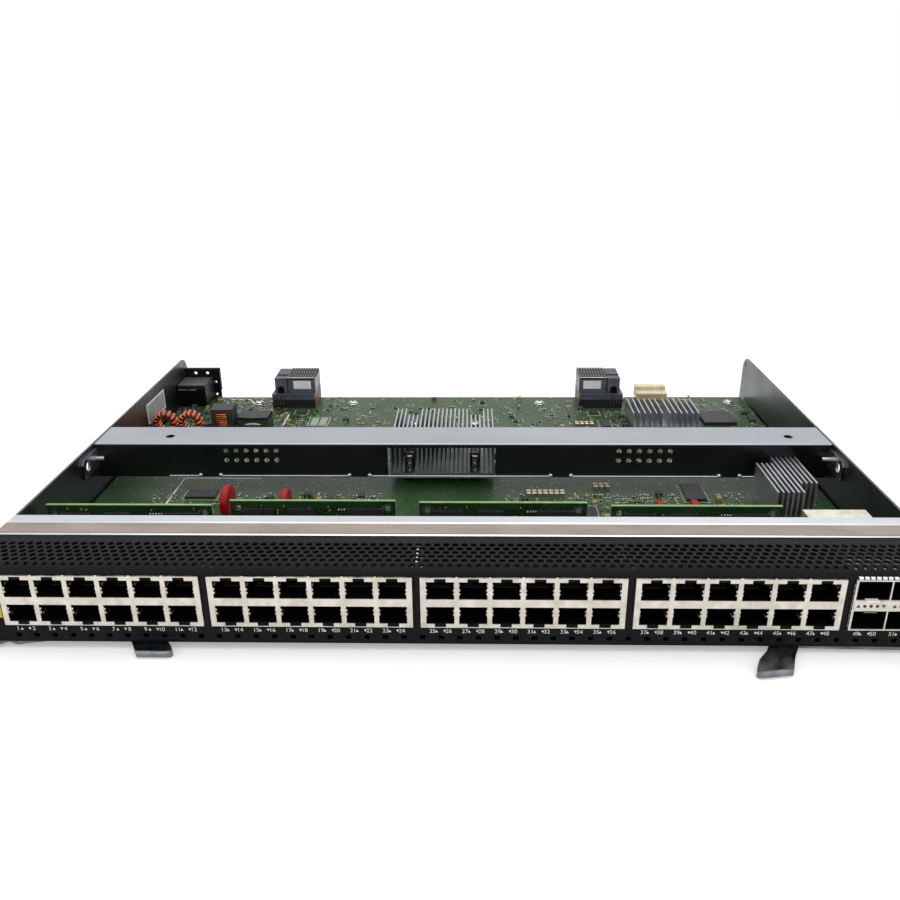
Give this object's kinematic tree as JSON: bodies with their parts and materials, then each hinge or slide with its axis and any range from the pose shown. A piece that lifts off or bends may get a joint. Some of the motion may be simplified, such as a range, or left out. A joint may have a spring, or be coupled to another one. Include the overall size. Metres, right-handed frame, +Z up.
{
  "type": "switch line card",
  "caption": "Sliding network switch line card: open sheet-metal tray with a ported faceplate, main board, heatsinks, cross brace, ejector levers and rear backplane connectors.",
  "frame": {"origin": "centre of the underside of the tray, halfway between the faceplate and the rear edge", "axes": "+Y from the faceplate to the rear connectors, +X to the right seen from the front, +Z up"},
  "size_m": [0.4267, 0.3245, 0.0417],
  "materials": {
    "board": "green solder mask",
    "brace_metal": "satin zinc plate",
    "bracket": "black paint",
    "capacitor": "tan ceramic",
    "chip": "moulded epoxy",
    "contact": "gold-plated contacts",
    "copper": "enamelled copper wire",
    "daughter": "green solder mask",
    "disc": "red dipped coating",
    "faceplate_paint": "fine black powder coat",
    "ferrite": "ferrite",
    "galvanised": "bright galvanised steel",
    "gasket": "conductive fabric over foam",
    "guide": "blue-grey moulded plastic",
    "header_plastic": "black moulded plastic",
    "heatsink_grey": "plain extruded",
    "inlet": "black moulded plastic",
    "jack_plastic": "black moulded plastic",
    "lever": "zinc-plated steel",
    "link": "dark grey moulded plastic",
    "screw": "bright nickel",
    "shroud": "beige moulded plastic",
    "spring": "spring wire",
    "standoff": "nickel-plated brass",
    "strip": "satin",
    "tin": "tin plate",
    "tray_metal": "satin grey-green plated steel"
  },
  "bodies": {
    "card": {"backplane_connector_left": "link", "backplane_connector_right": "link", "ball_grid_chips": "chip", "board_screws": "screw", "board_standoffs": "standoff", "brace_screws": "screw", "centre_heatsink": "heatsink_grey", "chip_capacitors": "capacitor", "chip_packages": "chip", "coil_cores": "ferrite", "coil_cradles": "header_plastic", "coil_windings": "copper", "cross_brace": "brace_metal", "daughter_board_1": "daughter", "daughter_board_2": "daughter", "daughter_board_3": "daughter", "daughter_board_4": "daughter", "daughter_chips": "chip", "daughter_headers": "header_plastic", "disc_varistors": "disc", "faceplate": "faceplate_paint", "front_heatsink": "heatsink_grey", "guide_block_left": "guide", "guide_block_right": "guide", "heatsink_screws": "screw", "heatsink_springs": "spring", "jack_contacts_1": "contact", "jack_contacts_2": "contact", "jack_contacts_3": "contact", "jack_contacts_4": "contact", "jack_housing_1": "jack_plastic", "jack_housing_2": "jack_plastic", "jack_housing_3": "jack_plastic", "jack_housing_4": "jack_plastic", "jack_shield_1": "tin", "jack_shield_2": "tin", "jack_shield_3": "tin", "jack_shield_4": "tin", "lever_pivots": "screw", "main_board": "board", "pin_header_shroud": "shroud", "planar_transformer_core": "ferrite", "planar_transformer_winding": "copper", "power_bracket": "bracket", "power_connector": "inlet", "pulse_transformer_core": "ferrite", "pulse_transformer_winding": "copper", "rail_gasket": "gasket", "rear_heatsink": "heatsink_grey", "sfp_cage": "tin", "sfp_host_connectors": "header_plastic", "sfp_indicator_strip": "strip", "sfp_spring_collar": "galvanised", "switch_chip": "chip", "top_rail": "galvanised", "tray": "tray_metal"},
    "left_lever": {"ejector_lever_left": "lever"},
    "right_lever": {"ejector_lever_right": "lever"}
  },
  "joints": [
    {"name": "left_lever_hinge", "type": "hinge", "parent": "card", "child": "left_lever", "pos_m": [-0.192, -0.147, -0.001], "axis": [0, 0, -1], "range_deg": [0, 45]},
    {"name": "right_lever_hinge", "type": "hinge", "parent": "card", "child": "right_lever", "pos_m": [0.192, -0.147, -0.001], "axis": [0, 0, 1], "range_deg": [-9.5, 35.5]}
  ]
}
